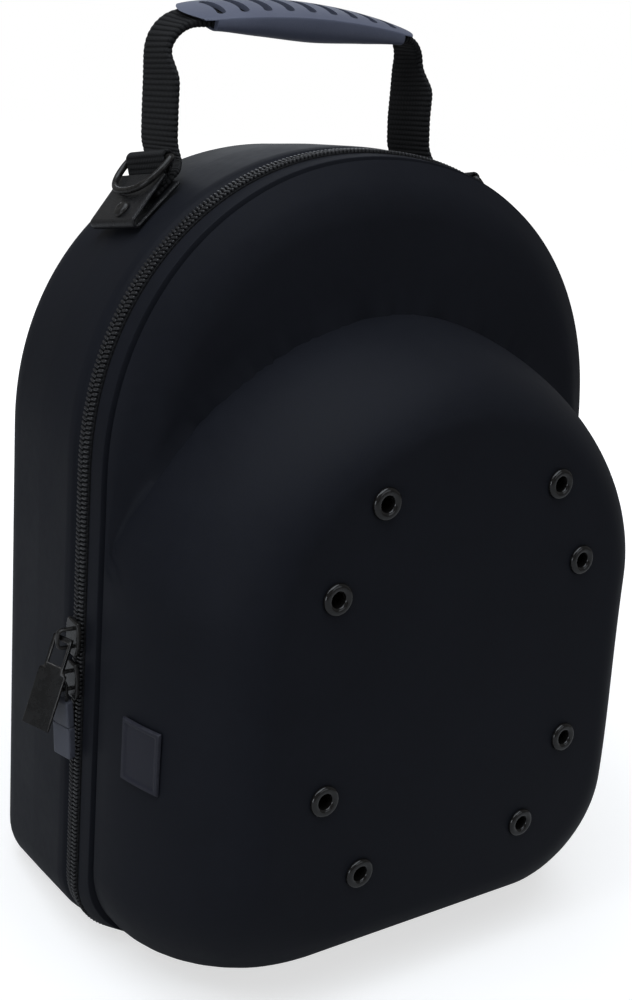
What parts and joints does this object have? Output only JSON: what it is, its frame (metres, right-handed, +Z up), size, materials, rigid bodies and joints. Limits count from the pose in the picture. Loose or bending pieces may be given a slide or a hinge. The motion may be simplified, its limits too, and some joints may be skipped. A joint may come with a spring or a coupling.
{
  "type": "cap carrier",
  "caption": "Hard-shell cap carrier: a zipped moulded foam case with a cap-shaped front, vent eyelets, a webbing handle with a moulded grip, and D-rings on its shoulders.",
  "frame": {"origin": "on the floor, in the middle of the flat underside of the rear shell, on the case's left-right middle plane", "axes": "+Z up towards the handle, -Y towards the bulging front, +X to the right seen from the front"},
  "size_m": [0.256, 0.1805, 0.371],
  "materials": {
    "shell": "moulded foam with a smooth matt charcoal skin",
    "tape": "black woven tape",
    "coil": "black nylon coil",
    "dark_metal": "glossy black lacquer",
    "pull_rubber": "grey moulded rubber",
    "webbing": "black ribbed webbing",
    "grip_rubber": "soft matt dark grey rubber",
    "leather": "glossy black coated leather",
    "patch": "matt dark grey rubber"
  },
  "bodies": {
    "case": {"rear_shell": "shell", "front_shell": "shell", "zip_tape_front": "tape", "zip_tape_rear": "tape", "hinge_strip": "tape", "zip_chain": "coil", "zip_slider_upper": "dark_metal", "zip_slider_lower": "dark_metal", "handle_strap": "webbing", "handle_grip": "grip_rubber", "anchor_tab_left": "leather", "anchor_tab_right": "leather", "anchor_rivet_left": "dark_metal", "anchor_rivet_right": "dark_metal", "ring_loop_left": "webbing", "ring_loop_right": "webbing", "eyelet_1": "dark_metal", "eyelet_2": "dark_metal", "eyelet_3": "dark_metal", "eyelet_4": "dark_metal", "eyelet_5": "dark_metal", "eyelet_6": "dark_metal", "eyelet_7": "dark_metal", "eyelet_8": "dark_metal", "side_patch": "patch"},
    "ring_left": {"d_ring_left": "dark_metal"},
    "ring_right": {"d_ring_right": "dark_metal"},
    "pull_upper": {"zip_pull_upper": "dark_metal"},
    "pull_lower": {"zip_link_lower": "dark_metal", "zip_pull_lower": "pull_rubber"}
  },
  "joints": [
    {"name": "ring_left_swing", "type": "hinge", "parent": "case", "child": "ring_left", "pos_m": [-0.07648, 0.00743, 0.30475], "axis": [-0.1301, 0.9848, -0.1151], "range_deg": [0, 110]},
    {"name": "ring_right_swing", "type": "hinge", "parent": "case", "child": "ring_right", "pos_m": [0.07648, 0.00743, 0.30475], "axis": [-0.1301, -0.9848, 0.1151], "range_deg": [0, 110]},
    {"name": "pull_upper_swing", "type": "hinge", "parent": "case", "child": "pull_upper", "pos_m": [-0.1234, -0.036, 0.134], "axis": [-0.5276, 0.8355, 0.1536], "range_deg": [0, 80]},
    {"name": "pull_lower_swing", "type": "hinge", "parent": "case", "child": "pull_lower", "pos_m": [-0.1234, -0.036, 0.117], "axis": [-0.2756, 0.9613, 0], "range_deg": [0, 10]}
  ]
}
